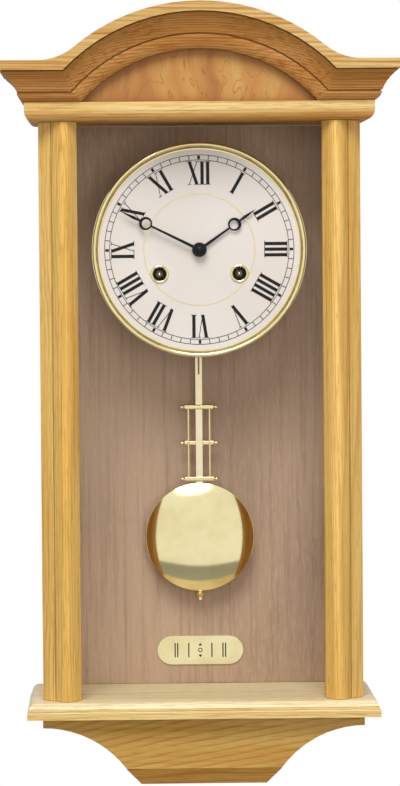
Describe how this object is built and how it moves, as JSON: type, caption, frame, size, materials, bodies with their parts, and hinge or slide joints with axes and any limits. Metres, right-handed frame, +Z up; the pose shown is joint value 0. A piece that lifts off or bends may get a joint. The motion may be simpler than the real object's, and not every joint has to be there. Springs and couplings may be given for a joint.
{
  "type": "regulator wall clock",
  "caption": "Oak wall clock with an arched cornice, a glazed door, a round Roman dial, a geared movement and a gridiron pendulum; shows the time and strikes a gong.",
  "frame": {"origin": "point of the wall plane straight behind the centre of the dial", "axes": "+Z up, +Y into the wall, so the dial faces -Y and +X is on the viewer's right"},
  "size_m": [0.32, 0.1603, 0.6316],
  "materials": {
    "oak": "satin varnish",
    "burl": "polished veneer",
    "panel_veneer": "satin veneer",
    "brass": "polished",
    "steel": "brushed",
    "iron": "matt",
    "dial_paint": "satin",
    "black_lacquer": "gloss",
    "glass": "clear"
  },
  "bodies": {
    "case": {"back_panel": "panel_veneer", "hanger_plate": "steel", "left_side_frame": "oak", "right_side_frame": "oak", "left_side_glass": "glass", "right_side_glass": "glass", "top_board": "oak", "base_board": "oak", "cornice_front": "oak", "cornice_left": "oak", "cornice_right": "oak", "tympanum_panel": "burl", "apron_front": "oak", "apron_left": "oak", "apron_right": "oak", "apron_foot": "oak", "magnet_catch": "iron", "beat_plate": "brass", "gong_coil": "steel", "gong_block": "iron", "back_plate": "brass", "front_plate": "brass", "movement_bracket_left": "steel", "movement_bracket_right": "steel", "suspension_cock": "brass", "dial_plate": "dial_paint", "dial_bezel": "brass", "grommet_left": "brass", "grommet_right": "brass"},
    "door": {"door_stile_left": "oak", "door_stile_right": "oak", "door_glass": "glass", "hinge_pin_top": "steel", "hinge_pin_bottom": "steel", "catch_plate": "steel"},
    "centre": {"centre_wheel": "brass", "cannon_pinion": "steel", "minute_hand": "black_lacquer", "hand_nut": "black_lacquer"},
    "minute_wheel": {"minute_wheel": "brass"},
    "hour": {"hour_wheel": "brass", "hour_hand": "black_lacquer"},
    "intermediate": {"intermediate_wheel": "brass"},
    "time_barrel": {"time_barrel": "brass"},
    "third": {"third_wheel": "brass"},
    "escape": {"escape_wheel": "brass"},
    "time_winding": {"time_winding_arbor": "brass"},
    "strike_barrel": {"strike_barrel": "brass"},
    "pin_wheel": {"pin_wheel": "brass"},
    "fly": {"fly": "brass"},
    "strike_winding": {"strike_winding_arbor": "brass"},
    "hammer": {"hammer": "brass"},
    "anchor": {"anchor": "steel"},
    "pendulum": {"suspension_spring": "steel", "pendulum_rod": "brass", "gridiron": "brass", "bob": "brass", "rating_nut": "brass"}
  },
  "joints": [
    {"name": "door_swing", "type": "hinge", "parent": "case", "child": "door", "pos_m": [0.124, -0.1145, 0], "axis": [0, 0, 1], "range_deg": [0, 105]},
    {"name": "centre_turn", "type": "hinge", "parent": "case", "child": "centre", "pos_m": [0, -0.057, 0], "axis": [0, 1, 0], "continuous": true},
    {"name": "minute_wheel_turn", "type": "hinge", "parent": "case", "child": "minute_wheel", "pos_m": [0.006, -0.083, -0.01039], "axis": [0, 1, 0], "continuous": true},
    {"name": "hour_turn", "type": "hinge", "parent": "case", "child": "hour", "pos_m": [0, -0.085, 0], "axis": [0, 1, 0], "continuous": true},
    {"name": "intermediate_turn", "type": "hinge", "parent": "case", "child": "intermediate", "pos_m": [0.0157, -0.057, 0.01105], "axis": [0, 1, 0], "continuous": true},
    {"name": "time_barrel_turn", "type": "hinge", "parent": "case", "child": "time_barrel", "pos_m": [0.0326, -0.057, -0.0196], "axis": [0, 1, 0], "continuous": true},
    {"name": "third_turn", "type": "hinge", "parent": "case", "child": "third", "pos_m": [-0.008, -0.057, 0.01443], "axis": [0, 1, 0], "continuous": true},
    {"name": "escape_turn", "type": "hinge", "parent": "case", "child": "escape", "pos_m": [0, -0.057, 0.02733], "axis": [0, 1, 0], "continuous": true},
    {"name": "time_winding_turn", "type": "hinge", "parent": "case", "child": "time_winding", "pos_m": [0.0326, -0.057, -0.0196], "axis": [0, 1, 0], "range_deg": [0, 1620]},
    {"name": "strike_barrel_turn", "type": "hinge", "parent": "case", "child": "strike_barrel", "pos_m": [-0.0326, -0.057, -0.0196], "axis": [0, 1, 0], "continuous": true},
    {"name": "pin_wheel_turn", "type": "hinge", "parent": "case", "child": "pin_wheel", "pos_m": [-0.02652, -0.057, 0.01487], "axis": [0, 1, 0], "continuous": true},
    {"name": "fly_turn", "type": "hinge", "parent": "case", "child": "fly", "pos_m": [-0.02926, -0.057, 0.03038], "axis": [0, 1, 0], "continuous": true},
    {"name": "strike_winding_turn", "type": "hinge", "parent": "case", "child": "strike_winding", "pos_m": [-0.0326, -0.057, -0.0196], "axis": [0, 1, 0], "range_deg": [0, 1620]},
    {"name": "hammer_lift", "type": "hinge", "parent": "case", "child": "hammer", "pos_m": [-0.02187, -0.015, 0.02781], "axis": [0, 1, 0], "range_deg": [0, 16]},
    {"name": "pendulum_swing", "type": "hinge", "parent": "case", "child": "pendulum", "pos_m": [0, -0.026, 0.04543], "axis": [0, 1, 0], "range_deg": [-3, 3]},
    {"name": "anchor_rock", "type": "hinge", "parent": "case", "child": "anchor", "pos_m": [0, -0.045, 0.04543], "axis": [0, 1, 0], "range_deg": [-3, 3]}
  ],
  "couplings": [
    {"joint": "minute_wheel_turn", "follows": "centre_turn", "ratio": -0.33333},
    {"joint": "hour_turn", "follows": "centre_turn", "ratio": 0.083333},
    {"joint": "intermediate_turn", "follows": "centre_turn", "ratio": -0.14286},
    {"joint": "time_barrel_turn", "follows": "centre_turn", "ratio": 0.02381},
    {"joint": "third_turn", "follows": "centre_turn", "ratio": -10},
    {"joint": "escape_turn", "follows": "centre_turn", "ratio": 105},
    {"joint": "pin_wheel_turn", "follows": "strike_barrel_turn", "ratio": -6},
    {"joint": "fly_turn", "follows": "strike_barrel_turn", "ratio": 48},
    {"joint": "anchor_rock", "follows": "pendulum_swing", "ratio": 1}
  ]
}
